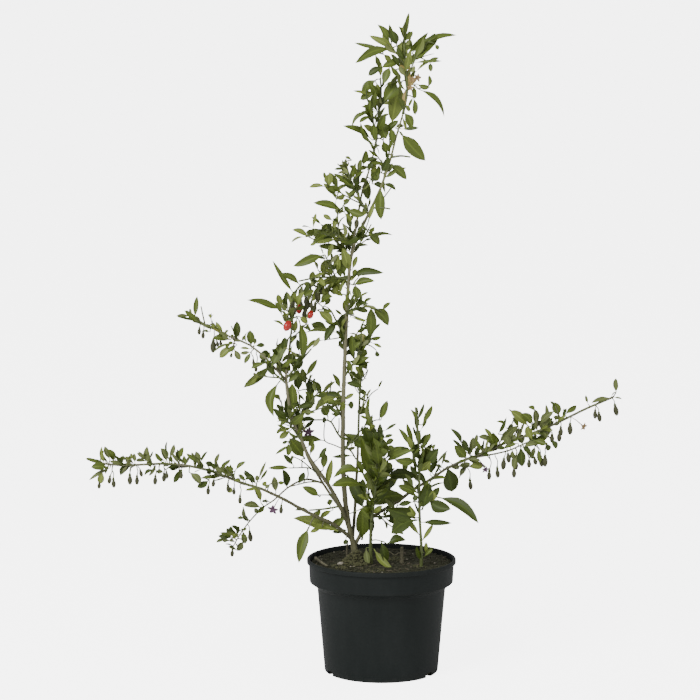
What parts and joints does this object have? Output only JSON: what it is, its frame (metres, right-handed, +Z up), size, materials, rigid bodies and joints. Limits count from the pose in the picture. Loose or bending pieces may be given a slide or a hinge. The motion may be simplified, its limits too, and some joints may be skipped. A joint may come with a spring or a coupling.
{
  "type": "potted goji berry bush",
  "caption": "Young fruiting shrub in a plain round nursery pot: a tall thin main stem, long arching side boughs, narrow leaves and small hanging berries.",
  "frame": {"origin": "middle of the pot's flat underside, on the surface it stands on", "axes": "+Z up along the pot's axis; +X towards the side of the rising right-hand bough; -Y towards the front that the picture shows"},
  "size_m": [0.676, 0.2681, 0.837],
  "materials": {
    "moulded_plastic": "dark charcoal moulded plastic, faint sheen",
    "peat_soil": "damp dark potting soil, crumbly",
    "bark": "pale grey-brown bark, finely ridged",
    "green_stem": "soft green young stem, smooth",
    "leaf_green": "matt green leaves with a paler midrib"
  },
  "bodies": {
    "root": {"pot": "moulded_plastic", "soil": "peat_soil", "main_stem": "bark", "upper_stem": "bark", "left_stem": "bark", "back_left_stem": "bark", "low_left_bough": "bark", "drooping_bough": "bark", "upper_left_bough": "bark", "right_bough": "bark", "centre_shoot": "green_stem", "front_shoot": "green_stem", "back_bough": "bark", "crown_top_foliage": "leaf_green", "crown_left_foliage": "leaf_green", "crown_right_foliage": "leaf_green", "crown_back_foliage": "leaf_green", "high_right_foliage": "leaf_green", "high_left_foliage": "leaf_green", "upper_left_foliage": "leaf_green", "upper_back_foliage": "leaf_green", "upper_right_foliage": "leaf_green", "berry_foliage": "leaf_green", "left_stem_top_foliage": "leaf_green", "upper_left_bough_foliage": "leaf_green", "mid_left_outer_foliage": "leaf_green", "mid_left_upper_foliage": "leaf_green", "mid_left_inner_foliage": "leaf_green", "mid_left_low_foliage": "leaf_green", "back_left_foliage": "leaf_green", "low_left_foliage": "leaf_green", "drooping_foliage": "leaf_green", "right_foliage": "leaf_green", "centre_foliage": "leaf_green", "front_foliage": "leaf_green", "base_left_foliage": "leaf_green", "stem_right_foliage": "leaf_green", "stem_left_foliage": "leaf_green", "middle_right_foliage": "leaf_green", "middle_left_foliage": "leaf_green", "middle_back_foliage": "leaf_green", "middle_front_foliage": "leaf_green", "back_foliage": "leaf_green", "base_right_foliage": "leaf_green"}
  },
  "joints": []
}
